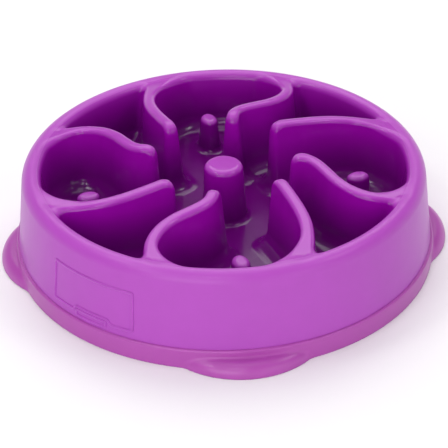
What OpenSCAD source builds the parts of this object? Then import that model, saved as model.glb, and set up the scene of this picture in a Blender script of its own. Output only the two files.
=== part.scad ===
// Slow feeder bowl: a moulded feeding bowl with eight rising flower ridges, a centre post and four pegs,
// standing on a soft non-slip ring with four foot tabs. Millimetres, +Z up, the table at z = 0.

/* [Bowl] */
// Inner radius of the rim, measured at its top edge
rim_r = 115.5; // [100:0.5:130]
// Width of the rolled rim, from its inner edge to the skirt below it
rim_w = 12.5; // [10:0.5:16]
// Height of the rim above the table
rim_h = 63; // [56:0.5:72]
// Rounding of the rim's outer edge
rim_round = 7; // [4:0.5:9]
// Rounding of the rim's inner edge
rim_lip = 5.4; // [2:0.2:5.4]
// How far the skirt spreads from under the rim down to the grip ring
skirt_spread = 4.4; // [2:0.2:8]
// Height of the feeding floor above the table
floor_h = 23; // [19:0.5:28]
// Thickness of the moulded skin
skin_t = 2.4; // [2:0.1:3.2]
// Draft of the inner walls, in degrees
draft = 5; // [2:0.5:7]
// Fillet between the floor and every wall, post and peg
floor_fillet = 5.5; // [3:0.5:7]

/* [Ridges] */
// Width of a ridge at its crest
ridge_w = 8.6; // [7.4:0.2:11]
// Rounding along both edges of the crest
crest_round = 3.2; // [1.2:0.2:3.6]
// How far the crests start below the rim's top
crest_drop = 0.9; // [0.4:0.1:2]
// Height that the crests would gain from the rim to the axis
crest_rise = 16.5; // [8:0.5:22]
// Rounding of a ridge's nose, seen from its side
nose_round = 10; // [6:0.5:12]

/* [Post and pegs] */
// Diameter of the centre post at its top
post_d = 25; // [18:0.5:30]
// Height of the post's top above the table
post_h = 61.5; // [50:0.5:68]
// Rounding of the post's top edge
post_round = 4; // [1:0.2:5]
// Draft of the post, in degrees
post_draft = 3.4; // [1:0.2:6]
// Length of a peg across its top, along the radius
peg_l = 15.2; // [12:0.2:18]
// Width of a peg across its top
peg_w = 11.4; // [9:0.2:14]
// Height of a peg's top above the table
peg_h = 46; // [36:0.5:52]
// Rounding of a peg's top edge
peg_round = 3.4; // [1:0.2:4]

/* [Grip ring] */
// Height of the grip ring
ring_h = 13.5; // [10:0.5:18]
// Thickness of the grip ring's wall
ring_t = 3.2; // [2.6:0.1:4]
// How far the ring stands proud of the skirt
ring_proud = 1.7; // [0.6:0.1:2.2]
// Rounding of the ring's upper edge
ring_round = 1.2; // [0.6:0.1:1.6]
// Thickness of the flange under the bowl's edge
flange_t = 2.5; // [1.6:0.1:3.5]
// Width of that flange
flange_w = 7; // [5:0.5:9]
// How far a foot tab reaches out from the ring
tab_reach = 10.4; // [6:0.2:14]
// Length of a foot tab along the ring
tab_l = 76; // [60:1:90]
// Height of a foot tab where it meets the ring
tab_h = 8.6; // [6:0.2:11]
// Rounding of a foot tab's upper edge
tab_round = 7.6; // [3:0.2:8]
// Clearance between the bowl and the grip ring's wall
ring_gap = 0.1; // [0.05:0.05:0.3]

/* [Hidden] */
$fn = 96;
bowl_colour = "#a23fb4";
ring_colour = "#a9429f";

// The pattern repeats four times round the axis
petals = 4;
turn = 360 / petals;
// Angle of the first foot tab and of the first peg
tab_angle = -84.5;
peg_angle = -83.8;
// The peg's place along the radius, and the tilt of its long axis
peg_place_share = 0.75;
peg_tilt = 12;
// Points round the nose of a ridge
nose_steps = 6;

// Middle lines of the two kinds of ridge, from inside the rim to the nose, as shares of rim_r
sweep_shares = [[0.4, -0.955], [0.418, -0.86], [0.426, -0.75], [0.42, -0.64], [0.392, -0.53],
    [0.345, -0.41], [0.293, -0.295]];
hook_shares = [[-0.365, -0.965], [-0.381, -0.87], [-0.374, -0.77], [-0.332, -0.678], [-0.262, -0.606],
    [-0.18, -0.554], [-0.112, -0.508], [-0.072, -0.46], [-0.053, -0.395]];
// The petal's two corners between a ridge and the rim, as shares of rim_r. Each goes round anticlockwise from
// its hub inside the rim: up the ridge and back along its own wall, or the other way round.
sweep_root_shares = [[0.405, -0.97], [0.418, -0.86], [0.426, -0.75]];
hook_root_shares = [[-0.39, -0.975]];
hook_spine_shares = [[-0.37, -0.76], [-0.381, -0.87]];
// Lines of the two corners' walls, whose ends lie inside the ridge and the rim
sweep_corner_shares = [[0.397, -0.65], [0.389, -0.72], [0.377, -0.79], [0.352, -0.862], [0.309, -0.919],
    [0.25, -0.96], [0.18, -0.99], [0.1, -1.011]];
hook_corner_shares = [[-0.1, -1.011], [-0.18, -0.989], [-0.24, -0.952], [-0.286, -0.905],
    [-0.317, -0.857], [-0.332, -0.805], [-0.3345, -0.76], [-0.33, -0.715]];

// The ring's outer face carries the outside diameter, and the skirt's foot follows it
skirt_top_r = rim_r + rim_w;
skirt_foot_r = skirt_top_r + skirt_spread;
ring_r = skirt_foot_r + ring_proud;
seat_r = ring_r - ring_t;
seat_wall_r = seat_r - ring_gap;
ridge_half = ridge_w / 2;
// Wall left round the hollow under a ridge, as a share of the skin
core_wall_share = 0.9;

// Points of an arc about a centre, both ends included
function arc(centre, radius, from, to, steps) =
    [for (i = [0 : steps]) let (a = from + (to - from) * i / steps)
        centre + radius * [cos(a), sin(a)]];

// Half width that a drafted wall gains down to a depth below its top
function drafted(depth, angle) = depth * tan(angle);

// Where the drafted inner wall meets the floor's fillet
floor_r = rim_r - drafted(rim_h - rim_lip - floor_h - floor_fillet, draft);

// Section of the bowl as a full block, from the floor over the rim to the seat of the grip ring
module dish_section() {
    polygon(concat(
        [[0, flange_t], [0, floor_h]],
        arc([floor_r - floor_fillet, floor_h + floor_fillet], floor_fillet, -90, -draft, 6),
        arc([rim_r + rim_lip, rim_h - rim_lip], rim_lip, 180 - draft, 90, 7),
        arc([skirt_top_r - rim_round, rim_h - rim_round], rim_round, 90, 4, 10),
        [[skirt_foot_r, ring_h], [seat_wall_r, ring_h], [seat_wall_r, flange_t]]));
}

// Section of the hollow under the floor and up inside the rim
module under_section() {
    under = floor_h - skin_t;
    cavity_top = rim_h - skin_t;
    inner_top_r = rim_r + skin_t;
    inner_foot_r = inner_top_r - drafted(cavity_top - under, draft);
    foot_inner_r = seat_wall_r - skin_t;
    polygon([[0, 0], [foot_inner_r, 0], [foot_inner_r, ring_h], [skirt_top_r - skin_t, rim_h - rim_round],
        [skirt_top_r - rim_round, cavity_top], [inner_top_r, cavity_top], [inner_foot_r, under],
        [0, under]]);
}

// Smooth line through points, with each stretch cut into steps
function spline(p, steps) = concat(
    [for (i = [0 : len(p) - 2], j = [0 : steps - 1])
        let (a = i == 0 ? 2 * p[0] - p[1] : p[i - 1], b = p[i], c = p[i + 1],
            d = i == len(p) - 2 ? 2 * p[i + 1] - p[i] : p[i + 2], t = j / steps)
        b + (c - a) * t / 2 + (2 * a - 5 * b + 4 * c - d) * t * t / 2
            + (3 * b - a - 3 * c + d) * t * t * t / 2],
    [p[len(p) - 1]]);

function unit(v) = v / norm(v);
function right_of(v) = [v[1], -v[0]];

// Directions of a line at each of its points
function headings(p) = [for (i = [0 : len(p) - 1])
    unit(p[min(i + 1, len(p) - 1)] - p[max(i - 1, 0)])];

// Height of the crests at a distance from the axis. Inside the rim they dive under its top.
function crest_z(r) = rim_h - crest_drop + crest_rise * (1 - min(r / rim_r, 1))
    - max(r - rim_r, 0) / 2;

// Drop of the crest towards the nose, by the distance left to its end
function nose_drop(left) = let (q = nose_round - max(left, 0))
    q <= 0 ? 0 : nose_round - sqrt(nose_round * nose_round - q * q);

// Each level of a wall is a loop of points at an offset from the outline of the crest: [offset, height], or
// near the crest [offset, depth of its rounded edge, depth of the whole crest]
function lifted(q, crest, level) =
    [q[0], q[1], len(level) == 2 ? level[1] : min(crest, crest_z(norm(q)) - level[1]) - level[2]];

// One level of a ridge: a loop up its right side, round its nose and down its left side
function ridge_loop(line, level) =
    let (n = len(line), dirs = headings(line), tip = line[n - 1], tip_dir = dirs[n - 1],
        half = ridge_half + level[0],
        start = atan2(-tip_dir[0], tip_dir[1]),
        flat = concat(
            [for (i = [0 : n - 1]) line[i] + half * right_of(dirs[i])],
            [for (k = [1 : nose_steps]) let (a = start + 180 * k / (nose_steps + 1))
                tip + half * [cos(a), sin(a)]],
            [for (i = [n - 1 : -1 : 0]) line[i] - half * right_of(dirs[i])]))
    [for (q = flat) lifted(q, crest_z(norm(q)) - nose_drop(ridge_half - (q - tip) * tip_dir), level)];

// One level of a corner where a ridge blends into the rim. The wall faces the right of its line, and the
// points before and after the line stay where they are.
function corner_loop(before, line, after, level) =
    let (dirs = headings(line), flat = concat(before,
        [for (i = [0 : len(line) - 1]) line[i] + level[0] * right_of(dirs[i])], after))
    [for (q = flat) lifted(q, crest_z(norm(q)), level)];

// Solid between loops of equally many points, lowest loop first, each running anticlockwise. Its two ends
// are fanned from the first point of the loop, or laddered across from there.
module skinned(loops, fanned) {
    n = len(loops[0]);
    last = (len(loops) - 1) * n;
    ends = fanned
        ? [for (i = [1 : n - 2]) [0, i, i + 1]]
        : [for (i = [0 : n / 2 - 2]) each [[i, i + 1, n - 2 - i], [i, n - 2 - i, n - 1 - i]]];
    sides = [for (j = [0 : len(loops) - 2], i = [0 : n - 1])
        let (a = j * n + i, b = j * n + (i + 1) % n) each [[a, a + n, b + n], [a, b + n, b]]];
    polyhedron(
        [for (loop = loops) each loop],
        concat(ends, sides, [for (q = ends) [last + q[2], last + q[1], last + q[0]]]));
}

// Levels of a wall near the floor: [extra half width, height], with the fillet as an arc
foot_angles = [25, 50, 90 - draft];
function foot_levels() = [for (a = foot_angles)
    [floor_fillet * (cos(draft) - sin(a)), floor_h + floor_fillet * (1 - cos(a))]];

// Levels of a wall from under the floor to its crest
wall_levels = concat(
    [[rim_r - floor_r + floor_fillet * cos(draft), floor_h - skin_t / 2]],
    [for (l = foot_levels()) [rim_r - floor_r + l[0], l[1]]],
    [for (a = [0, 30, 60, 90]) [-crest_round * (1 - cos(a)), crest_round * (1 - sin(a)), 0]]);

// Levels of the hollow under a wall, open at the floor's underside
core_wall = skin_t * core_wall_share;
core_foot = floor_h - 2 * skin_t;
core_levels = [[drafted(rim_h - core_foot, draft) - core_wall, core_foot], [-core_wall, 0, skin_t]];

// One ridge along its line, or the hollow under it
module ridge(shares, levels) {
    line = spline(shares * rim_r, 2);
    skinned([for (l = levels) ridge_loop(line, l)], false);
}

// One corner between a ridge and the rim, or the hollow under it
module corner(before_shares, shares, after_shares, levels) {
    line = spline(shares * rim_r, 2);
    before = before_shares * rim_r;
    after = [for (share = after_shares) share * rim_r];
    skinned([for (l = levels) corner_loop(before, line, after, l)], true);
}

// The eight ridges with their petal corners, or the hollows under them
module flower(levels) {
    for (k = [0 : petals - 1])
        rotate([0, 0, k * turn]) {
            ridge(sweep_shares, levels);
            ridge(hook_shares, levels);
            corner(sweep_root_shares, sweep_corner_shares, [], levels);
            corner(hook_root_shares, hook_corner_shares, hook_spine_shares, levels);
        }
}

// The centre post, with a rounded top edge and a filleted foot
post_top_r = post_d / 2;
post_foot_r = post_top_r + drafted(post_h - floor_h, post_draft);
module post() {
    rotate_extrude()
        polygon(concat(
            [[0, floor_h - skin_t / 2], [post_foot_r + floor_fillet, floor_h - skin_t / 2]],
            [for (a = [20, 40, 60, 90 - post_draft])
                [post_foot_r + floor_fillet * (1 - sin(a)), floor_h + floor_fillet * (1 - cos(a))]],
            arc([post_top_r - post_round, post_h - post_round], post_round, 0, 90, 5),
            [[0, post_h]]));
}

module post_core() {
    inset = skin_t / cos(post_draft);
    translate([0, 0, floor_h - 2 * skin_t])
        cylinder(r1 = post_foot_r - inset, r2 = post_top_r - inset, h = post_h - floor_h + skin_t);
}

// One level of a peg: an oval, counted so that its caps can be laddered
peg_steps = 20;
function oval(length, width, z) = [for (i = [0 : peg_steps - 1])
    let (a = 360 * (i + 0.5) / peg_steps) [length / 2 * cos(a), width / 2 * sin(a), z]];

// One oval peg with a filleted foot and a domed top
module peg() {
    spread = 2 * drafted(peg_h - floor_h, draft);
    rotate([0, 0, peg_angle])
        translate([peg_place_share * rim_r, 0, 0])
            rotate([0, 0, peg_tilt])
                skinned(concat(
                    [oval(peg_l + spread + 2 * floor_fillet, peg_w + spread + 2 * floor_fillet,
                        floor_h - skin_t / 2)],
                    [for (l = foot_levels()) let (grown = spread + 2 * l[0])
                        oval(peg_l + grown, peg_w + grown, l[1])],
                    [for (a = [0, 30, 60, 90]) let (inset = 2 * peg_round * (1 - cos(a)))
                        oval(peg_l - inset, peg_w - inset, peg_h - peg_round * (1 - sin(a)))]), false);
}

module bowl() {
    color(bowl_colour)
        difference() {
            union() {
                rotate_extrude() dish_section();
                flower(wall_levels);
                for (k = [0 : petals - 1])
                    rotate([0, 0, k * turn]) peg();
                post();
            }
            rotate_extrude() under_section();
            flower(core_levels);
            post_core();
        }
}

// Wall and flange of the grip ring
module ring_section() {
    polygon(concat(
        [[ring_r - flange_w, 0], [ring_r, 0]],
        arc([ring_r - ring_round, ring_h - ring_round], ring_round, 0, 90, 4),
        [[seat_r, ring_h], [seat_r, flange_t], [ring_r - flange_w, flange_t]]));
}

// One half-moon foot tab, a slice of a round pad that shows outside the ring
module tab() {
    chord = sqrt(ring_r * ring_r - tab_l * tab_l / 4);
    rise = ring_r + tab_reach - chord;
    pad_r = (tab_l * tab_l / 4 + rise * rise) / (2 * rise);
    difference() {
        translate([ring_r + tab_reach - pad_r, 0, 0])
            rotate_extrude()
                polygon(concat([[0, 0], [pad_r, 0]],
                    arc([pad_r - tab_round, tab_h - tab_round], tab_round, 0, 90, 8),
                    [[0, tab_h]]));
        translate([0, 0, -ring_h])
            cylinder(r = ring_r - ring_t / 2, h = 3 * ring_h);
    }
}

module grip_ring() {
    color(ring_colour) {
        rotate_extrude() ring_section();
        for (k = [0 : petals - 1])
            rotate([0, 0, tab_angle + k * turn]) tab();
    }
}

bowl();
grip_ring();
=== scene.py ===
"""Slow feeder bowl: a glossy moulded bowl with eight rising flower ridges, a centre post and four pegs,
standing on a soft non-slip ring with four foot tabs.

The CAD model is the frame. The bowl and the ring are meshed here as smooth surfaces with every fillet
that the moulded ones have, and a bare badge frame is laid on the skirt. Lengths are metres, +Z is up and
the table is at z = 0.
"""

import math

import bpy
import numpy as np
from mathutils import Matrix, Vector


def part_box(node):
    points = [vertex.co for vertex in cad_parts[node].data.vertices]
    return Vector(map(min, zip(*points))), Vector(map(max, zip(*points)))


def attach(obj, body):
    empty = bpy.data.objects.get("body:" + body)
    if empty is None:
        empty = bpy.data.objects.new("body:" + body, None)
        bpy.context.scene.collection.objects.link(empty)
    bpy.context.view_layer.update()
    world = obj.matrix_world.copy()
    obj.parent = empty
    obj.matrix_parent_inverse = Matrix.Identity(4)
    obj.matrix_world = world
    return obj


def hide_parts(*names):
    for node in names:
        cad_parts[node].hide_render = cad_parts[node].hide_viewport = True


bl_info = {
    "name": "Slow feeder bowl",
    "version": (1, 0, 0),
    "blender": (4, 5, 0),
    "location": "3D View > Sidebar > Feeder bowl",
    "description": "Builds a slow feeder bowl with flower ridges on a non-slip ring, and a plain studio",
    "category": "Add Mesh",
}

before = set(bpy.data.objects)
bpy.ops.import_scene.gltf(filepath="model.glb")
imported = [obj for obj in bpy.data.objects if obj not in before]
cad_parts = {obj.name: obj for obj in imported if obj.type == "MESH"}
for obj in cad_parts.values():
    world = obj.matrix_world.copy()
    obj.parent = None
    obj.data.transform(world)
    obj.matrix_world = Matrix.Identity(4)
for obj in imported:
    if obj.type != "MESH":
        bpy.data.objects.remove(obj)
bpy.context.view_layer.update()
RING_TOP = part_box("grip_ring")[1][2]

# The pattern repeats four times round the axis.
PETALS = 4
TURNS = [k * 2 * math.pi / PETALS for k in range(PETALS)]
# Azimuths of the front foot tab and the front peg, and how far a peg is turned from its radius.
TAB_ANGLE = math.radians(-84.5)
PEG_ANGLE = math.radians(-83.8)
PEG_TILT = math.radians(12)

# Middle lines of the two kinds of ridge, from inside the rim to the nose, as shares of the rim's radius.
SWEEP_SHARES = ((0.4, -0.955), (0.418, -0.86), (0.426, -0.75), (0.42, -0.64), (0.392, -0.53),
                (0.345, -0.41), (0.293, -0.295))
HOOK_SHARES = ((-0.365, -0.965), (-0.381, -0.87), (-0.374, -0.77), (-0.332, -0.678), (-0.262, -0.606),
               (-0.18, -0.554), (-0.112, -0.508), (-0.072, -0.46), (-0.053, -0.395))
# Over this width the root of a ridge takes on the rim's height and rounding.
ROOT_BLEND = 0.02
# Small roundings of the ring's inner edges and of its foot.
RING_EDGE, RING_FOOT = 0.0004, 0.0005

# The grid of the bowl ends above its highest crest. From this height over the bowl's foot, the two sides
# of the skin are meshed apart.
GRID_TOP, SKIN_SEAM = 0.0735, 0.004
BOWL_TRIANGLES, RING_TRIANGLES = 180000, 60000
# Samples on each stretch of a ridge's line, and how many points are compared with them at once.
LINE_SAMPLES, POINTS_AT_ONCE = 6, 20000

# The photograph's camera: image width and focal length in pixels, then where it looks, from how far.
PHOTO_PX, FOCAL_PX, SENSOR_MM = 448, 1846, 36
LOOK_DOWN, ROLL = math.radians(33.1), -0.0175
AIM_X, AIM_Z, CAMERA_DISTANCE = -0.00041, 0.01562, 1.1937


# Sizes and colours

def length(name, description, default):
    """A length that a user may change."""
    return bpy.props.FloatProperty(name=name, description=description, default=default, unit="LENGTH",
                                   subtype="DISTANCE", precision=4)


def share(name, description, default, top=1):
    """A share or a level that a user may change."""
    return bpy.props.FloatProperty(name=name, description=description, default=default, min=0,
                                   soft_max=top, subtype="FACTOR")


def angle(name, description, degrees):
    """An angle that a user may change."""
    return bpy.props.FloatProperty(name=name, description=description, default=math.radians(degrees),
                                   unit="ROTATION", subtype="ANGLE")


def linear(hex_colour):
    """Linear red, green and blue of an sRGB hex colour."""
    parts = [int(hex_colour[i:i + 2], 16) / 255 for i in (1, 3, 5)]
    return [c / 12.92 if c <= 0.04045 else ((c + 0.055) / 1.055) ** 2.4 for c in parts]


def colour(name, description, hex_colour):
    """A colour that a user may change, kept in linear values."""
    return bpy.props.FloatVectorProperty(name=name, description=description, default=linear(hex_colour),
                                         size=3, min=0, max=1, subtype="COLOR")


class FeederBowlSizes(bpy.types.PropertyGroup):
    """Sizes and colours of the moulded bowl."""
    rim_r: length("Rim radius", "Inner radius of the rim at its top edge", 0.1155)
    rim_w: length("Rim width", "Width of the rolled rim", 0.0125)
    rim_h: length("Rim height", "Height of the rim above the table", 0.063)
    rim_lip: length("Rim inner rounding", "Rounding of the rim's inner edge", 0.0054)
    rim_round: length("Rim outer rounding", "Rounding of the rim's outer edge", 0.007)
    skirt_spread: length("Skirt spread", "How far the skirt spreads down to the grip ring", 0.0044)
    floor_h: length("Floor height", "Height of the feeding floor above the table", 0.023)
    skin_t: length("Skin", "Thickness of the moulded skin", 0.0024)
    foot_z: length("Foot", "Height of the bowl's lower edge", 0.0025)
    seat_r: length("Seat radius", "Radius of the bowl's edge inside the grip ring", 0.1308)
    bite: length("Bite", "How far the skirt's foot sinks into the soft ring", 0.0008)
    draft: angle("Draft", "Draft of the inner walls", 5)
    floor_fillet: length("Floor fillet", "Fillet between the floor and the walls round it", 0.0105)
    foot_fillet: length("Foot fillet", "Fillet at the foot of the post and of the pegs", 0.0035)
    ridge_w: length("Ridge width", "Width of a ridge at its crest", 0.0086)
    crest_round: length("Crest rounding", "Rounding along both edges of a crest", 0.0032)
    crest_drop: length("Crest drop", "How far the crests start below the rim", 0.0009)
    crest_rise: length("Crest rise", "Height the crests would gain from the rim to the axis", 0.0165)
    nose_round: length("Nose rounding", "Rounding of a ridge's nose seen from its side", 0.01)
    sweep_corner: length("Wide petal corner", "Blend of the rim and the sweeping ridge in a petal", 0.023)
    hook_corner: length("Tight petal corner", "Blend of the rim and the hooked ridge in a petal", 0.017)
    pocket_corner: length("Pocket corner", "Blend of the rim and a ridge in a pocket", 0.006)
    post_d: length("Post diameter", "Diameter of the centre post at its top", 0.025)
    post_h: length("Post height", "Height of the post's top above the table", 0.0615)
    post_round: length("Post rounding", "Rounding of the post's top edge", 0.004)
    post_draft: angle("Post draft", "Draft of the post", 3.4)
    peg_l: length("Peg length", "Length of a peg across its top, along the radius", 0.0152)
    peg_w: length("Peg width", "Width of a peg across its top", 0.0114)
    peg_h: length("Peg height", "Height of a peg's top above the table", 0.046)
    peg_round: length("Peg rounding", "Rounding of a peg's top edge", 0.0034)
    peg_place: share("Peg place", "Place of a peg as a share of the rim's radius", 0.75)
    cell: length("Mesh cell", "Edge of the cells that the surface is meshed from", 0.00125)
    # The outside colour is the plastic's tint made paler by painted sheen.
    outside_tint_painted_sheen: colour("Outside colour", "Colour of the satin skirt and rim", "#b14bbb")
    finish_wall: colour("Wall colour", "Colour of the polished walls of the hollow", "#9907a5")
    # The floor colour is the plastic's tint darkened by painted shade; the hollow blends to it towards the
    # floor.
    floor_tint_painted_shade: colour("Floor colour", "Colour of the polished floor, deepest down", "#65036e")


class FeederBadgeSizes(bpy.types.PropertyGroup):
    """Place and size of the bare badge frame on the skirt."""
    frame_start: angle("Badge start", "Azimuth where the raised badge frame starts", -142)
    frame_end: angle("Badge end", "Azimuth where the raised badge frame ends", -115)
    frame_low: length("Badge foot", "Height of the badge frame's lower line", 0.0187)
    frame_high: length("Badge top", "Height of the badge frame's upper line", 0.0445)
    bead_w: length("Bead width", "Width of the badge frame's raised bead", 0.0018)
    bead_proud: length("Bead height", "How far the bead stands out from the skirt", 0.0008)


class FeederRingSizes(bpy.types.PropertyGroup):
    """Sizes and colour of the soft grip ring."""
    ring_r: length("Ring radius", "Outer radius of the grip ring", 0.1341)
    ring_h: length("Ring height", "Height of the grip ring", RING_TOP)
    ring_t: length("Ring wall", "Thickness of the grip ring's wall", 0.0032)
    ring_round: length("Ring rounding", "Rounding of the ring's upper edge", 0.0012)
    flange_t: length("Flange thickness", "Thickness of the flange under the bowl's edge", 0.0025)
    flange_w: length("Flange width", "Width of the flange under the bowl's edge", 0.007)
    tab_reach: length("Tab reach", "How far a foot tab reaches out from the ring", 0.0104)
    tab_l: length("Tab length", "Length of a foot tab along the ring", 0.076)
    tab_h: length("Tab height", "Height of a foot tab where it meets the ring", 0.0086)
    tab_round: length("Tab rounding", "Rounding of a foot tab's upper edge", 0.0076)
    tab_crease: length("Tab crease", "Fillet between a foot tab and the ring", 0.0012)
    cell: length("Mesh cell", "Edge of the cells that the surface is meshed from", 0.001)
    finish: colour("Ring colour", "Colour of the ring's rubber", "#b04aac")


class FeederStageSettings(bpy.types.PropertyGroup):
    """Floor and lamps of the plain studio."""
    floor_colour: colour("Floor colour", "Colour of the plain floor", "#faf9fa")
    lamp_level: share("Lamp level", "Strength of every lamp, 1 as designed", 1, 2)


# Smooth surfaces from distance fields

def smooth_min(a, b, radius):
    """Union of two distances with a round fillet in the corner between them."""
    corner = np.hypot(np.maximum(radius - a, 0), np.maximum(radius - b, 0))
    return np.maximum(radius, np.minimum(a, b)) - corner


def smooth_max(a, b, radius):
    """Overlap of two distances with a rounded edge where they meet."""
    edge = np.hypot(np.maximum(radius + a, 0), np.maximum(radius + b, 0))
    return np.minimum(-radius, np.maximum(a, b)) + edge


def smooth_step(t):
    """Rises smoothly from 0 to 1 as t does."""
    t = np.clip(t, 0, 1)
    return t * t * (3 - 2 * t)


def gradient(field, points, step=0.00004):
    """Gradient of a field at points."""
    out = np.empty_like(points)
    for axis in range(3):
        shift = np.zeros(3)
        shift[axis] = step
        out[:, axis] = (field(points + shift) - field(points - shift)) / (2 * step)
    return out


def onto(field, points, cell, rounds):
    """Moves points onto the surface where a field is zero."""
    for _ in range(rounds):
        slope = gradient(field, points)
        move = field(points)[:, None] * slope / np.maximum((slope ** 2).sum(1), 0.25)[:, None]
        points = points - np.clip(move, -cell / 2, cell / 2)
    return points


def net(values, hollow, seam, low, cell):
    """Vertices and quads of the surface where a grid of values changes sign: one vertex for each cell
    that it crosses.

    hollow marks the air of the hollow side, so that above the seam the two sides of a thin skin in one
    cell each get a vertex of their own.
    """
    inside = values < 0
    wide, deep, tall = (n - 1 for n in inside.shape)
    count = sum(inside[i:wide + i, j:deep + j, k:tall + k].astype(np.int8)
                for i in (0, 1) for j in (0, 1) for k in (0, 1))
    cells = np.argwhere((count > 0) & (count < 8))
    apart = low[2] + cell * cells[:, 2] > seam
    total, hits = np.zeros((2, len(cells), 3)), np.zeros((2, len(cells)))
    for axis in range(3):
        step = np.eye(3, dtype=int)[axis]
        u, v = np.eye(3, dtype=int)[[a for a in range(3) if a != axis]]
        for start in (0 * u, u, v, u + v):
            here, there = tuple((cells + start).T), tuple((cells + start + step).T)
            a, b = values[here], values[there]
            crossed = (a < 0) != (b < 0)
            place = start + (a / np.where(crossed, a - b, 1))[:, None] * step
            side = np.where(a < 0, hollow[there], hollow[here]) & apart
            for k in (0, 1):
                chosen = crossed & (side == bool(k))
                total[k] += chosen[:, None] * place
                hits[k] += chosen
    number = np.full((2, *count.shape), -1, np.int32)
    vertices = []
    for k in (0, 1):
        used = hits[k] > 0
        number[(k, *cells[used].T)] = np.arange(used.sum()) + sum(len(v) for v in vertices)
        vertices.append(low + cell * (cells[used] + total[k][used] / hits[k][used][:, None]))
    joined = tuple(cells[~apart].T)
    number[(1, *joined)] = number[(0, *joined)]
    quads = []
    for axis in range(3):
        one, two = (axis + 1) % 3, (axis + 2) % 3
        step = np.eye(3, dtype=int)[axis]
        head, tail = [slice(None)] * 3, [slice(None)] * 3
        head[axis], tail[axis] = slice(None, -1), slice(1, None)
        edges = np.argwhere(inside[tuple(head)] != inside[tuple(tail)])
        edges = edges[(edges[:, one] > 0) & (edges[:, two] > 0)
                      & (edges[:, one] < count.shape[one]) & (edges[:, two] < count.shape[two])]
        outward = inside[tuple(edges.T)]
        side = np.where(outward, hollow[tuple((edges + step).T)], hollow[tuple(edges.T)]).astype(int)
        corners = []
        for i, j in ((-1, -1), (0, -1), (0, 0), (-1, 0)):
            place = edges.copy()
            place[:, one] += i
            place[:, two] += j
            corners.append(number[(side, *place.T)])
        corners = np.array(corners).T
        quads.append(np.where(outward[:, None], corners, corners[:, ::-1]))
    return np.concatenate(vertices), np.concatenate(quads)


def mesh_from(name, vertices, faces):
    """A mesh of numpy vertices and faces."""
    mesh = bpy.data.meshes.new(name)
    size = faces.shape[1]
    mesh.vertices.add(len(vertices))
    mesh.vertices.foreach_set("co", vertices.astype(np.float32).ravel())
    mesh.loops.add(faces.size)
    mesh.loops.foreach_set("vertex_index", faces.astype(np.int32).ravel())
    mesh.polygons.add(len(faces))
    mesh.polygons.foreach_set("loop_start", np.arange(0, faces.size, size, dtype=np.int32))
    mesh.update(calc_edges=True)
    mesh.validate()
    return mesh


def thinned(name, vertices, faces, triangles):
    """Vertices and triangles of the surface, thinned out where it is nearly flat."""
    mesh = mesh_from(name, vertices, faces)
    obj = bpy.data.objects.new(name, mesh)
    bpy.context.scene.collection.objects.link(obj)
    thin = obj.modifiers.new("Thin", "DECIMATE")
    thin.use_collapse_triangulate = True
    thin.ratio = min(1, triangles / (2 * len(faces)))
    done = obj.evaluated_get(bpy.context.evaluated_depsgraph_get()).to_mesh()
    done.calc_loop_triangles()
    points = np.empty(len(done.vertices) * 3)
    done.vertices.foreach_get("co", points)
    corners = np.empty(len(done.loop_triangles) * 3, np.int32)
    done.loop_triangles.foreach_get("vertices", corners)
    bpy.data.objects.remove(obj)
    bpy.data.meshes.remove(mesh)
    return points.reshape(-1, 3), corners.reshape(-1, 3)


def moulded(name, values, hollow, seam, field, low, cell, triangles):
    """A shaded mesh of the surface where a field is zero, with its normals taken from the field."""
    vertices, quads = net(values, hollow, seam, low, cell)
    vertices = onto(field, vertices, cell, 2)
    vertices, corners = thinned(name, vertices, quads, triangles)
    vertices = onto(field, vertices, cell, 2)
    normals = gradient(field, vertices)
    normals /= np.maximum(np.linalg.norm(normals, axis=1), 1e-6)[:, None]
    mesh = mesh_from(name, vertices, corners)
    mesh.shade_smooth()
    mesh.normals_split_custom_set_from_vertices(normals)
    return mesh


# The bowl's shape

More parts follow.
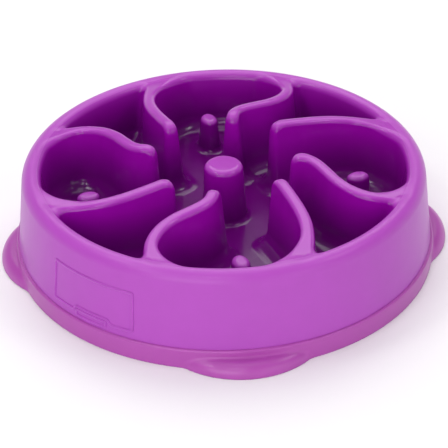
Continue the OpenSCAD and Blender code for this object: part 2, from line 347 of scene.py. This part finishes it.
class RidgeLines:
    """The middle lines of all eight ridges as smooth cubics, and the nearest place on them."""

    def __init__(self, rim_r):
        stretches, self.first, self.count, self.petal_side, samples = [], [], [], [], []
        tips, tip_ways = [], []
        for turn in TURNS:
            spin = np.array([[math.cos(turn), math.sin(turn)], [-math.sin(turn), math.cos(turn)]])
            for shares, side in ((SWEEP_SHARES, 1), (HOOK_SHARES, -1)):
                knots = np.array(shares) * rim_r @ spin
                knots = np.vstack([2 * knots[0] - knots[1], knots, 2 * knots[-1] - knots[-2]])
                a, b, c, d = knots[:-3], knots[1:-2], knots[2:-1], knots[3:]
                self.first.append(sum(len(s) for s in stretches))
                self.count.append(len(a))
                self.petal_side.append(side)
                stretches.append(np.stack([b, (c - a) / 2, (2 * a - 5 * b + 4 * c - d) / 2,
                                           (3 * b - a - 3 * c + d) / 2], axis=1))
                tips.append(knots[-2])
                way = knots[-2] - knots[-3]
                tip_ways.append(way / np.linalg.norm(way))
                samples += [(len(self.first) - 1, i / LINE_SAMPLES)
                            for i in range(LINE_SAMPLES * len(a) + 1)]
        self.cubics = np.concatenate(stretches)
        self.first, self.count = np.array(self.first), np.array(self.count)
        self.petal_side = np.array(self.petal_side)
        self.tips, self.tip_ways = np.array(tips), np.array(tip_ways)
        self.sample_line = np.array([s[0] for s in samples])
        self.sample_t = np.array([s[1] for s in samples])
        self.sample_point = self.at(self.sample_line, self.sample_t)[0]

    def at(self, line, t):
        """Place, first and second derivative of lines at t."""
        stretch = np.minimum(t.astype(int), self.count[line] - 1)
        u = (t - stretch)[:, None]
        c0, c1, c2, c3 = np.moveaxis(self.cubics[self.first[line] + stretch], 1, 0)
        return c0 + u * (c1 + u * (c2 + u * c3)), c1 + u * (2 * c2 + 3 * u * c3), 2 * c2 + 6 * u * c3

    def near(self, xy):
        """The nearest line of each point, and where on it, roughly."""
        best = np.empty(len(xy), int)
        for start in range(0, len(xy), POINTS_AT_ONCE):
            part = xy[start:start + POINTS_AT_ONCE]
            gaps = ((part[:, None, 0] - self.sample_point[None, :, 0]) ** 2
                    + (part[:, None, 1] - self.sample_point[None, :, 1]) ** 2)
            best[start:start + POINTS_AT_ONCE] = gaps.argmin(1)
        return self.sample_line[best], self.sample_t[best]

    def measure(self, xy, hint):
        """Distance to the nearest line, the same with a sign, positive in a petal, and the line."""
        line, t = hint
        top = self.count[line].astype(float)
        for _ in range(5):
            place, first, second = self.at(line, t)
            gap = place - xy
            speed = (first ** 2).sum(1)
            bend = np.maximum(speed + (gap * second).sum(1), speed / 4)
            t = np.clip(t - np.clip((gap * first).sum(1) / bend, -0.5, 0.5), 0, top)
        place, first, _ = self.at(line, t)
        away = xy - place
        distance = np.hypot(away[:, 0], away[:, 1])
        left = first[:, 0] * away[:, 1] - first[:, 1] * away[:, 0]
        return distance, distance * np.sign(left) * self.petal_side[line], line


def skirt_line(bowl):
    """Radius and height of the skirt where it leaves the rim, and how far it spreads for its drop."""
    top_z = bowl.rim_h - bowl.rim_round
    return bowl.rim_r + bowl.rim_w, top_z, bowl.skirt_spread / (top_z - RING_TOP)


class BowlShape:
    """Distance field of the bowl's skin."""

    def __init__(self, sizes):
        self.s = sizes
        self.lines = RidgeLines(sizes.rim_r)
        self.lean = math.tan(sizes.draft)

    def plan(self, xy, hint):
        """What depends only on the place seen from above."""
        s = self.s
        r = np.hypot(xy[:, 0], xy[:, 1])
        distance, signed, line = self.lines.measure(xy, hint)
        ridge = distance - s.ridge_w / 2
        rim = s.rim_r - r
        petal = smooth_step(signed / s.ridge_w + 0.5)
        petal_corner = np.where(self.lines.petal_side[line] > 0, s.sweep_corner, s.hook_corner)
        corner = s.pocket_corner + (petal_corner - s.pocket_corner) * petal
        crest = s.rim_h - s.crest_drop + s.crest_rise * (1 - np.minimum(r / s.rim_r, 1))
        beyond = ((xy - self.lines.tips[line]) * self.lines.tip_ways[line]).sum(1) - s.ridge_w / 2
        on_ridge = smooth_step((rim - ridge) / ROOT_BLEND + 0.5)
        top = s.rim_h + (crest - s.rim_h) * on_ridge
        edge = s.rim_lip + (s.crest_round - s.rim_lip) * on_ridge
        pegs = []
        for turn in TURNS:
            place = PEG_ANGLE + turn
            centre = s.peg_place * s.rim_r * np.array([math.cos(place), math.sin(place)])
            way = place + PEG_TILT
            off = xy - centre
            pegs.append((off[:, 0] * math.cos(way) + off[:, 1] * math.sin(way),
                         off[:, 1] * math.cos(way) - off[:, 0] * math.sin(way)))
        nearest = np.argmin([a * a + b * b for a, b in pegs], axis=0)
        peg_a = np.choose(nearest, [p[0] for p in pegs])
        peg_b = np.choose(nearest, [p[1] for p in pegs])
        return r, ridge, rim, corner, crest, beyond, top, edge, peg_a, peg_b

    def block(self, plan, z):
        """The bowl as a full block, with every fillet and rounding of its outer face."""
        s = self.s
        r, ridge, rim, corner, crest, beyond, top, edge, peg_a, peg_b = plan
        upright = math.cos(s.draft)
        rim_wall = (rim - self.lean * (s.rim_h - s.rim_lip - z)) * upright
        ridge_wall = (ridge - self.lean * (crest - s.crest_round - z)) * upright
        above = smooth_max(z - top, beyond, s.nose_round)
        wall = smooth_max(smooth_min(rim_wall, ridge_wall, corner), above, edge)
        dish = smooth_min(wall, z - s.floor_h, s.floor_fillet)
        post_lean = math.tan(s.post_draft)
        post = (r - s.post_d / 2 - post_lean * (s.post_h - s.post_round - z)) * math.cos(s.post_draft)
        dish = smooth_min(dish, smooth_max(post, z - s.post_h, s.post_round), s.foot_fillet)
        widen = self.lean * (s.peg_h - s.peg_round - z)
        half_l, half_w = s.peg_l / 2 + widen, s.peg_w / 2 + widen
        stretch = np.hypot(peg_a / half_l, peg_b / half_w)
        slope = np.hypot(peg_a / half_l ** 2, peg_b / half_w ** 2)
        peg = stretch * (stretch - 1) / np.maximum(slope, 1e-9)
        dish = smooth_min(dish, smooth_max(peg, z - s.peg_h, s.peg_round), s.foot_fillet)
        top_r, top_z, lean = skirt_line(s)
        skirt = (r - top_r - lean * (top_z - z)) / math.hypot(1, lean)
        return smooth_max(dish, skirt, s.rim_round)

    def sides(self, plan, z):
        """The bowl's outer face and its hollow as two fields, stepped in where the ring sits."""
        s = self.s
        ledge = RING_TOP - s.bite
        block = self.block(plan, z)
        seat = np.minimum(plan[0] - s.seat_r, ledge - z)
        inner_seat = np.minimum(plan[0] - s.seat_r + s.skin_t, ledge + s.skin_t - z)
        hollow = smooth_max(block + s.skin_t, inner_seat, s.skin_t)
        return np.maximum(np.maximum(block, seat), s.foot_z - z), -hollow

    def field(self):
        """The skin as a field of points, which keeps each point's nearest line between calls."""
        kept = {}

        def value(points):
            if kept.get("count") != len(points):
                kept["count"] = len(points)
                kept["hint"] = self.lines.near(points[:, :2])
            return np.maximum(*self.sides(self.plan(points[:, :2], kept["hint"]), points[:, 2]))
        return value

    def mesh(self):
        """The mesh of the bowl."""
        s = self.s
        reach = s.rim_r + s.rim_w + s.skirt_spread + 2 * s.cell
        low = np.array([-reach, -reach, s.foot_z - 1.5 * s.cell])
        shape = np.ceil((np.array([reach, reach, GRID_TOP]) - low) / s.cell).astype(int) + 1
        x, y, z = (low[i] + s.cell * np.arange(shape[i]) for i in range(3))
        xy = np.stack(np.meshgrid(x, y, indexing="ij"), axis=-1).reshape(-1, 2)
        plan = [p.reshape(len(x), len(y), 1) for p in self.plan(xy, self.lines.near(xy))]
        layers = [self.sides(plan, z[None, None, i:i + 8]) for i in range(0, len(z), 8)]
        outer, hollow = (np.concatenate([layer[k] for layer in layers], axis=2) for k in (0, 1))
        return moulded("bowl_skin", np.maximum(outer, hollow), hollow > outer, s.foot_z + SKIN_SEAM,
                       self.field(), low, s.cell, BOWL_TRIANGLES)


# The badge frame

def rounded(corners, radius, step):
    """Points of a closed flat path with rounded corners, about a step apart."""
    corners = [np.array(c, float) for c in corners]
    points = []
    for before, corner, after in zip(corners[-1:] + corners[:-1], corners, corners[1:] + corners[:1]):
        to_before, to_after = before - corner, after - corner
        reach = min(radius, np.linalg.norm(to_before) / 2, np.linalg.norm(to_after) / 2)
        start = corner + to_before / np.linalg.norm(to_before) * reach
        end = corner + to_after / np.linalg.norm(to_after) * reach
        points += [(1 - t) ** 2 * start + 2 * t * (1 - t) * corner + t * t * end
                   for t in np.linspace(0, 1, 6)]
    path = []
    for here, there in zip(points, points[1:] + points[:1]):
        count = max(1, math.ceil(np.linalg.norm(there - here) / step))
        path += [here + (there - here) * i / count for i in range(count)]
    return np.array(path)


def badge_mesh(bowl, s):
    """A raised bead round the bare badge and its small plate, laid on the skirt. The badge is empty."""
    top_r, top_z, lean = skirt_line(bowl)
    middle_r = top_r + bowl.skirt_spread / 2
    left, right = s.frame_start * middle_r, s.frame_end * middle_r
    low, high = s.frame_low, s.frame_high
    # The frame's lower line steps up over the plate, which hangs as far below it.
    step, plate_left, plate_right = 0.0028, left + 0.0185, left + 0.0465
    slant_left, slant_right, inset_left, inset_right, overlap = 0.0012, 0.0022, 0.0022, 0.0035, 0.001
    outline = [(left, high), (left, low), (plate_left, low), (plate_left + slant_left, low + step),
               (plate_right - slant_right, low + step), (plate_right, low), (right, low), (right, high)]
    plate = [(plate_left + inset_left, low + overlap), (plate_left + inset_left, low - step),
             (plate_right - inset_right, low - step), (plate_right - inset_right, low + overlap)]
    frame_corner_r, frame_spacing = 0.0015, 0.0012
    plate_corner_r, plate_spacing = 0.0009, 0.0008
    sides = 10
    vertices, faces = [], []
    for path in (rounded(outline, frame_corner_r, frame_spacing),
                 rounded(plate, plate_corner_r, plate_spacing)):
        ways = np.roll(path, -1, axis=0) - np.roll(path, 1, axis=0)
        ways /= np.linalg.norm(ways, axis=1)[:, None]
        first = len(vertices)
        for (along, z), way in zip(path, ways):
            for i in range(sides):
                turn = 2 * math.pi * i / sides
                across = math.cos(turn) * s.bead_w / 2
                a = (along - way[1] * across) / middle_r
                up = z + way[0] * across
                r = top_r + lean * (top_z - up) + math.sin(turn) * s.bead_proud
                vertices.append((r * math.cos(a), r * math.sin(a), up))
        for k in range(len(path)):
            here, there = first + k * sides, first + (k + 1) % len(path) * sides
            for i in range(sides):
                beside = (i + 1) % sides
                faces.append((here + i, there + i, there + beside, here + beside))
    mesh = mesh_from("badge_bead", np.array(vertices), np.array(faces))
    mesh.shade_smooth()
    return mesh


# The grip ring's shape

def ring_field(s):
    """Distance field of the grip ring with its four foot tabs."""
    chord = math.sqrt(s.ring_r ** 2 - s.tab_l ** 2 / 4)
    rise = s.ring_r + s.tab_reach - chord
    pad_r = (s.tab_l ** 2 / 4 + rise ** 2) / (2 * rise)
    centres = [(s.ring_r + s.tab_reach - pad_r) * np.array([math.cos(a), math.sin(a)])
               for a in (TAB_ANGLE + turn for turn in TURNS)]
    seat_r = s.ring_r - s.ring_t

    def value(points):
        x, y, z = points[..., 0], points[..., 1], points[..., 2]
        r = np.hypot(x, y)
        pad = np.min([np.hypot(x - c[0], y - c[1]) for c in centres], axis=0) - pad_r
        body = smooth_max(r - s.ring_r, z - s.ring_h, s.ring_round)
        tab = smooth_max(pad, z - s.tab_h, s.tab_round)
        outside = smooth_min(body, tab, s.tab_crease)
        wall_side = seat_r - r
        flange_side = np.maximum(s.ring_r - s.flange_w - r, z - s.flange_t)
        inside = np.minimum(wall_side, flange_side)
        return smooth_max(smooth_max(outside, inside, RING_EDGE), -z, RING_FOOT)
    return value


def ring_mesh(s):
    """The mesh of the grip ring."""
    reach = s.ring_r + s.tab_reach + 2 * s.cell
    low = np.array([-reach, -reach, -1.5 * s.cell])
    shape = np.ceil((np.array([reach, reach, s.ring_h + 2 * s.cell]) - low) / s.cell).astype(int) + 1
    axes = [low[i] + s.cell * np.arange(shape[i]) for i in range(3)]
    points = np.stack(np.meshgrid(*axes, indexing="ij"), axis=-1)
    field = ring_field(s)
    values = field(points)
    return moulded("grip_ring_rubber", values, np.zeros_like(values, bool), s.ring_h, field, low, s.cell,
                   RING_TRIANGLES)


# Materials

def add_node(tree, kind, settings=None, inputs=None):
    """Adds a shader node with its settings and inputs. An input is named, or numbered where names
    repeat, and one that is given a socket is linked to it."""
    node = tree.nodes.new(kind)
    for key, value in (settings or {}).items():
        setattr(node, key, value)
    for key, value in (inputs or {}).items():
        socket = node.inputs[key] if isinstance(key, int) else next(
            i for i in node.inputs if i.name == key and i.enabled)
        if isinstance(value, bpy.types.NodeSocket):
            tree.links.new(value, socket)
        else:
            socket.default_value = value
    return node


def new_material(name):
    """An empty node material and its output."""
    material = bpy.data.materials.new(name)
    material.use_nodes = True
    material.node_tree.nodes.clear()
    return material, add_node(material.node_tree, "ShaderNodeOutputMaterial")


def moulded_polypropylene(sizes):
    """Injection moulded polypropylene, tinted through. The mould is polished for the hollow, which looks
    glossy, darkened towards the floor by painted shade, and spark-eroded outside, which looks satin,
    with a paler colour that is painted sheen."""
    material, output = new_material("moulded_polypropylene")
    tree = material.node_tree
    coordinates = add_node(tree, "ShaderNodeTexCoord")
    place, normal = coordinates.outputs["Object"], coordinates.outputs["Normal"]
    height = add_node(tree, "ShaderNodeSeparateXYZ", {}, {"Vector": place}).outputs["Z"]
    flat = add_node(tree, "ShaderNodeVectorMath", {"operation": "MULTIPLY"}, {0: place, 1: (1, 1, 0)})
    radius = add_node(tree, "ShaderNodeVectorMath", {"operation": "LENGTH"}, {0: flat.outputs["Vector"]})
    # The polish ends just past the rim's inner edge.
    outside = add_node(tree, "ShaderNodeMapRange", {"interpolation_type": "SMOOTHSTEP"}, {
        "Value": radius.outputs["Value"], "From Min": sizes.rim_r - 0.001, "From Max": sizes.rim_r + 0.004})
    # Painted highlight: faces that look upwards on the crests and on the tops of the post and pegs are
    # painted paler, as if lit from above.
    facing = add_node(tree, "ShaderNodeSeparateXYZ", {}, {"Vector": normal}).outputs["Z"]
    upward = add_node(tree, "ShaderNodeMapRange", {"interpolation_type": "SMOOTHSTEP"}, {
        "Value": facing, "From Min": 0.3, "From Max": 0.85, "To Max": 0.75})
    raised = add_node(tree, "ShaderNodeMapRange", {"interpolation_type": "SMOOTHSTEP"}, {
        "Value": height, "From Min": sizes.peg_h - 0.01, "From Max": sizes.peg_h - 0.004})
    painted_top_highlight = add_node(tree, "ShaderNodeMath", {"operation": "MULTIPLY"},
                      {0: upward.outputs["Result"], 1: raised.outputs["Result"]})
    # Painted sheen: the satin outside and the painted highlight on the tops take the paler outside colour.
    pale_and_painted_sheen = add_node(tree, "ShaderNodeMath", {"operation": "MAXIMUM"},
                    {0: outside.outputs["Result"], 1: painted_top_highlight.outputs["Value"]})
    # Painted shade: the hollow's colour darkens from the wall colour near the rim to the floor colour near
    # the floor.
    painted_depth_shade = add_node(tree, "ShaderNodeMapRange", {}, {
        "Value": height, "From Min": sizes.floor_h + 0.002, "From Max": sizes.rim_h - 0.005})
    hollow_painted_shade = add_node(tree, "ShaderNodeMix", {"data_type": "RGBA"}, {
        "Factor": painted_depth_shade.outputs["Result"], "A": (*sizes.floor_tint_painted_shade, 1), "B": (*sizes.finish_wall, 1)})
    tint = add_node(tree, "ShaderNodeMix", {"data_type": "RGBA"}, {
        "Factor": pale_and_painted_sheen.outputs["Value"], "A": hollow_painted_shade.outputs["Result"], "B": (*sizes.outside_tint_painted_sheen, 1)})
    # The melt leaves a faint haze in bands about 12 mm wide, in tone and in polish.
    haze = add_node(tree, "ShaderNodeTexNoise", {}, {"Vector": place, "Scale": 1 / 0.012, "Detail": 4.0})
    tone = add_node(tree, "ShaderNodeMapRange", {}, {
        "Value": haze.outputs["Fac"], "To Min": 0.96, "To Max": 1.04})
    shade = add_node(tree, "ShaderNodeVectorMath", {"operation": "SCALE"},
                     {0: tint.outputs["Result"], "Scale": tone.outputs["Result"]})
    polish = add_node(tree, "ShaderNodeMapRange", {}, {
        "Value": haze.outputs["Fac"], "To Min": 0.13, "To Max": 0.19})
    rough = add_node(tree, "ShaderNodeMapRange", {}, {
        "Value": outside.outputs["Result"], "To Min": polish.outputs["Result"], "To Max": 0.32})
    # Sink marks over the cored ridges come as slow waves, one in about 35 mm and 0.3 mm deep.
    waves = add_node(tree, "ShaderNodeTexNoise", {}, {"Vector": place, "Scale": 1 / 0.035, "Detail": 1.0})
    sink = add_node(tree, "ShaderNodeBump", {}, {"Strength": 1.0, "Distance": 0.0003,
                                                 "Height": waves.outputs["Fac"]})
    # The eroded grain is about 0.1 mm wide, too fine to show, so it is drawn at 0.5 mm.
    grain = add_node(tree, "ShaderNodeTexNoise", {}, {"Vector": place, "Scale": 1 / 0.0005, "Detail": 2.0})
    etched = add_node(tree, "ShaderNodeMath", {"operation": "MULTIPLY"},
                      {0: grain.outputs["Fac"], 1: outside.outputs["Result"]})
    bump = add_node(tree, "ShaderNodeBump", {}, {"Strength": 0.3, "Distance": 0.00003,
                                                 "Height": etched.outputs["Value"],
                                                 "Normal": sink.outputs["Normal"]})
    plastic = add_node(tree, "ShaderNodeBsdfPrincipled", {}, {
        "Base Color": shade.outputs["Vector"], "Roughness": rough.outputs["Result"], "IOR": 1.49,
        "Specular IOR Level": 0.35, "Normal": bump.outputs["Normal"]})
    tree.links.new(plastic.outputs["BSDF"], output.inputs["Surface"])
    return material


def thermoplastic_rubber(finish):
    """Soft thermoplastic rubber moulded onto the bowl: satin, with a fine even grain, a little redder."""
    material, output = new_material("thermoplastic_rubber")
    tree = material.node_tree
    place = add_node(tree, "ShaderNodeTexCoord").outputs["Object"]
    # The spark-eroded mould leaves a grain of about 0.1 mm, drawn at 0.6 mm so that it shows.
    grain = add_node(tree, "ShaderNodeTexNoise", {}, {"Vector": place, "Scale": 1 / 0.0006, "Detail": 2.0})
    bump = add_node(tree, "ShaderNodeBump", {}, {"Strength": 0.35, "Distance": 0.00004,
                                                 "Height": grain.outputs["Fac"]})
    # Handling dulls the rubber in patches about 15 mm wide.
    wear = add_node(tree, "ShaderNodeTexNoise", {}, {"Vector": place, "Scale": 1 / 0.015, "Detail": 3.0})
    rough = add_node(tree, "ShaderNodeMapRange", {}, {
        "Value": wear.outputs["Fac"], "To Min": 0.26, "To Max": 0.34})
    tone = add_node(tree, "ShaderNodeMapRange", {}, {
        "Value": wear.outputs["Fac"], "To Min": 0.96, "To Max": 1.04})
    shade = add_node(tree, "ShaderNodeVectorMath", {"operation": "SCALE"},
                     {0: tuple(finish), "Scale": tone.outputs["Result"]})
    rubber = add_node(tree, "ShaderNodeBsdfPrincipled", {}, {
        "Base Color": shade.outputs["Vector"], "Roughness": rough.outputs["Result"], "IOR": 1.5,
        "Normal": bump.outputs["Normal"]})
    tree.links.new(rubber.outputs["BSDF"], output.inputs["Surface"])
    return material


def studio_paper(floor_colour):
    """Matt seamless studio paper. It takes the bowl's shadow, and from 0.25 to 0.7 m away it turns to
    plain white for the eye and in reflections, without lighting the bowl."""
    material, output = new_material("studio_paper")
    tree = material.node_tree
    paper = add_node(tree, "ShaderNodeBsdfPrincipled", {}, {
        "Base Color": (*floor_colour, 1), "Roughness": 0.9, "Specular IOR Level": 0.1})
    white = add_node(tree, "ShaderNodeEmission", {}, {"Color": (1, 1, 1, 1), "Strength": 1.0})
    place = add_node(tree, "ShaderNodeTexCoord").outputs["Object"]
    away = add_node(tree, "ShaderNodeVectorMath", {"operation": "LENGTH"}, {0: place})
    far = add_node(tree, "ShaderNodeMapRange", {"interpolation_type": "SMOOTHSTEP"}, {
        "Value": away.outputs["Value"], "From Min": 0.25, "From Max": 0.7})
    ray = add_node(tree, "ShaderNodeLightPath")
    seen = add_node(tree, "ShaderNodeMath", {"operation": "MAXIMUM"},
                    {0: ray.outputs["Is Camera Ray"], 1: ray.outputs["Is Glossy Ray"]})
    seen = add_node(tree, "ShaderNodeMath", {"operation": "MAXIMUM"},
                    {0: seen.outputs["Value"], 1: ray.outputs["Is Transmission Ray"]})
    whitened = add_node(tree, "ShaderNodeMath", {"operation": "MULTIPLY"},
                        {0: far.outputs["Result"], 1: seen.outputs["Value"]})
    mix = add_node(tree, "ShaderNodeMixShader", {}, {
        "Fac": whitened.outputs["Value"], 1: paper.outputs["BSDF"], 2: white.outputs["Emission"]})
    tree.links.new(mix.outputs["Shader"], output.inputs["Surface"])
    return material


# Pieces

def piece(name, mesh, material, slot, *nodes):
    """A finished piece of the object, and the CAD nodes that it stands for."""
    obj = bpy.data.objects.new(name, mesh)
    bpy.context.scene.collection.objects.link(obj)
    obj.data.materials.append(material)
    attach(obj, "root")
    if nodes:
        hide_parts(*nodes)
    return obj


class FEEDER_OT_bowl(bpy.types.Operator):
    """Build the moulded bowl with its ridges, post and pegs"""
    bl_idname = "feeder.bowl"
    bl_label = "Bowl"
    bl_options = {"REGISTER", "UNDO"}

    def execute(self, context):
        sizes = context.scene.feeder_bowl
        material = moulded_polypropylene(sizes)
        piece("bowl_moulding", BowlShape(sizes).mesh(), material, "bowl_plastic", "bowl")
        return {"FINISHED"}


class FEEDER_OT_badge(bpy.types.Operator):
    """Build the bare badge frame on the bowl's skirt"""
    bl_idname = "feeder.badge"
    bl_label = "Badge frame"
    bl_options = {"REGISTER", "UNDO"}

    def execute(self, context):
        bowl = context.scene.feeder_bowl
        material = bpy.data.materials.get("moulded_polypropylene") or moulded_polypropylene(bowl)
        piece("badge_frame", badge_mesh(bowl, context.scene.feeder_badge), material, "bowl_plastic")
        return {"FINISHED"}


class FEEDER_OT_ring(bpy.types.Operator):
    """Build the soft grip ring with its four foot tabs"""
    bl_idname = "feeder.ring"
    bl_label = "Grip ring"
    bl_options = {"REGISTER", "UNDO"}

    def execute(self, context):
        sizes = context.scene.feeder_ring
        material = thermoplastic_rubber(sizes.finish)
        piece("grip_ring_moulding", ring_mesh(sizes), material, "grip_rubber", "grip_ring")
        return {"FINISHED"}


class FEEDER_OT_stage(bpy.types.Operator):
    """Set up the plain floor, the soft lamps and the camera"""
    bl_idname = "feeder.stage"
    bl_label = "Studio"
    bl_options = {"REGISTER", "UNDO"}

    def execute(self, context):
        settings = context.scene.feeder_stage
        scene = context.scene
        half = 3
        corners = np.array([[x, y, 0] for x, y in ((-half, -half), (half, -half), (half, half),
                                                   (-half, half))], float)
        floor_mesh = mesh_from("floor", corners, np.array([[0, 1, 2, 3]]))
        floor = bpy.data.objects.new("floor", floor_mesh)
        scene.collection.objects.link(floor)
        floor.data.materials.append(studio_paper(settings.floor_colour))
        self.lamps(scene, settings.lamp_level)
        self.world(scene)
        self.camera(scene)
        scene.view_settings.view_transform = "Standard"
        return {"FINISHED"}

    def lamps(self, scene, level):
        """Soft boxes that face the bowl: azimuth and elevation in degrees, distance, size, radiance."""
        for name, azimuth, elevation, distance, size, radiance in (
                ("lamp_back", 90, 59, 1.2, (1.3, 0.95), 2.5),
                ("lamp_front_left", 252, 20, 1.3, (0.9, 0.6), 2.5),
                ("lamp_front_high", 262, 50, 1.2, (0.3, 0.3), 4.2),
                ("lamp_front_right", 310, 25, 1.3, (0.7, 0.6), 1.1),
                ("lamp_side_left", 225, 45, 1.2, (0.22, 0.22), 7.5),
                ("lamp_high_left", 190, 60, 1.2, (0.26, 0.26), 7.0),
                ("lamp_high_right", 346, 52, 1.2, (0.22, 0.22), 7.0),
                ("lamp_top", 270, 85, 1.3, (0.5, 0.5), 1.6)):
            around, above = math.radians(azimuth), math.radians(elevation)
            place = distance * Vector((math.cos(above) * math.cos(around),
                                       math.cos(above) * math.sin(around), math.sin(above)))
            data = bpy.data.lights.new(name, "AREA")
            data.shape = "RECTANGLE"
            data.size, data.size_y = size
            data.energy = math.pi * size[0] * size[1] * radiance * level
            lamp = bpy.data.objects.new(name, data)
            scene.collection.objects.link(lamp)
            lamp.location = place
            lamp.rotation_euler = place.to_track_quat("Z", "Y").to_euler()

    def world(self, scene):
        """A room with white walls, the left one further off and dimmer, and a dim ceiling."""
        world = bpy.data.worlds.new("white_room")
        world.use_nodes = True
        tree = world.node_tree
        tree.nodes.clear()
        output = add_node(tree, "ShaderNodeOutputWorld")
        way = add_node(tree, "ShaderNodeTexCoord").outputs["Generated"]
        parts = add_node(tree, "ShaderNodeSeparateXYZ", {}, {"Vector": way})
        left = add_node(tree, "ShaderNodeMapRange", {"interpolation_type": "SMOOTHSTEP"}, {
            "Value": parts.outputs["X"], "From Min": -0.95, "From Max": -0.2,
            "To Min": 0.6, "To Max": 1.0})
        strength = add_node(tree, "ShaderNodeMapRange", {"interpolation_type": "SMOOTHSTEP"}, {
            "Value": parts.outputs["Z"], "From Min": 0.05, "From Max": 0.45,
            "To Min": left.outputs["Result"], "To Max": 0.18})
        light = add_node(tree, "ShaderNodeBackground", {}, {"Color": (1, 1, 1, 1),
                                                            "Strength": strength.outputs["Result"]})
        tree.links.new(light.outputs["Background"], output.inputs["Surface"])
        scene.world = world

    def camera(self, scene):
        """The photograph's long lens, looking down at the bowl by 33 degrees."""
        forward = Vector((0, math.cos(LOOK_DOWN), -math.sin(LOOK_DOWN)))
        right = Vector((1, 0, 0))
        up = right.cross(forward)
        side = math.cos(ROLL) * right + math.sin(ROLL) * up
        top = math.cos(ROLL) * up - math.sin(ROLL) * right
        data = bpy.data.cameras.new("camera")
        data.sensor_width = SENSOR_MM
        data.lens = SENSOR_MM * FOCAL_PX / PHOTO_PX
        data.dof.use_dof = False
        data.clip_end = 20
        camera = bpy.data.objects.new("camera", data)
        scene.collection.objects.link(camera)
        place = Vector((AIM_X, -CAMERA_DISTANCE * math.cos(LOOK_DOWN),
                        AIM_Z + CAMERA_DISTANCE * math.sin(LOOK_DOWN)))
        turn = Matrix((side, top, -forward)).transposed()
        camera.matrix_world = Matrix.Translation(place) @ turn.to_4x4()
        scene.camera = camera


class FEEDER_PT_panel(bpy.types.Panel):
    """Sizes, colours and buttons of the feeder bowl"""
    bl_idname = "FEEDER_PT_panel"
    bl_label = "Slow feeder bowl"
    bl_space_type = "VIEW_3D"
    bl_region_type = "UI"
    bl_category = "Feeder bowl"

    def draw(self, context):
        scene = context.scene
        for group, button in ((scene.feeder_bowl, "feeder.bowl"), (scene.feeder_badge, "feeder.badge"),
                              (scene.feeder_ring, "feeder.ring"), (scene.feeder_stage, "feeder.stage")):
            box = self.layout.box()
            for name in group.__annotations__:
                box.prop(group, name)
            box.operator(button)


CLASSES = (FeederBowlSizes, FeederBadgeSizes, FeederRingSizes, FeederStageSettings, FEEDER_OT_bowl,
           FEEDER_OT_badge, FEEDER_OT_ring, FEEDER_OT_stage, FEEDER_PT_panel)
GROUPS = {"feeder_bowl": FeederBowlSizes, "feeder_badge": FeederBadgeSizes,
          "feeder_ring": FeederRingSizes, "feeder_stage": FeederStageSettings}


def register():
    """Registers the classes and hangs their settings on the scene."""
    for cls in CLASSES:
        bpy.utils.register_class(cls)
    for name, group in GROUPS.items():
        setattr(bpy.types.Scene, name, bpy.props.PointerProperty(type=group))


def unregister():
    """Takes the settings and the classes away again."""
    for name in GROUPS:
        delattr(bpy.types.Scene, name)
    for cls in reversed(CLASSES):
        bpy.utils.unregister_class(cls)


def main():
    """Builds the whole bowl and its stage."""
    register()
    bpy.ops.feeder.bowl()
    bpy.ops.feeder.badge()
    bpy.ops.feeder.ring()
    bpy.ops.feeder.stage()


if __name__ == "__main__":
    main()
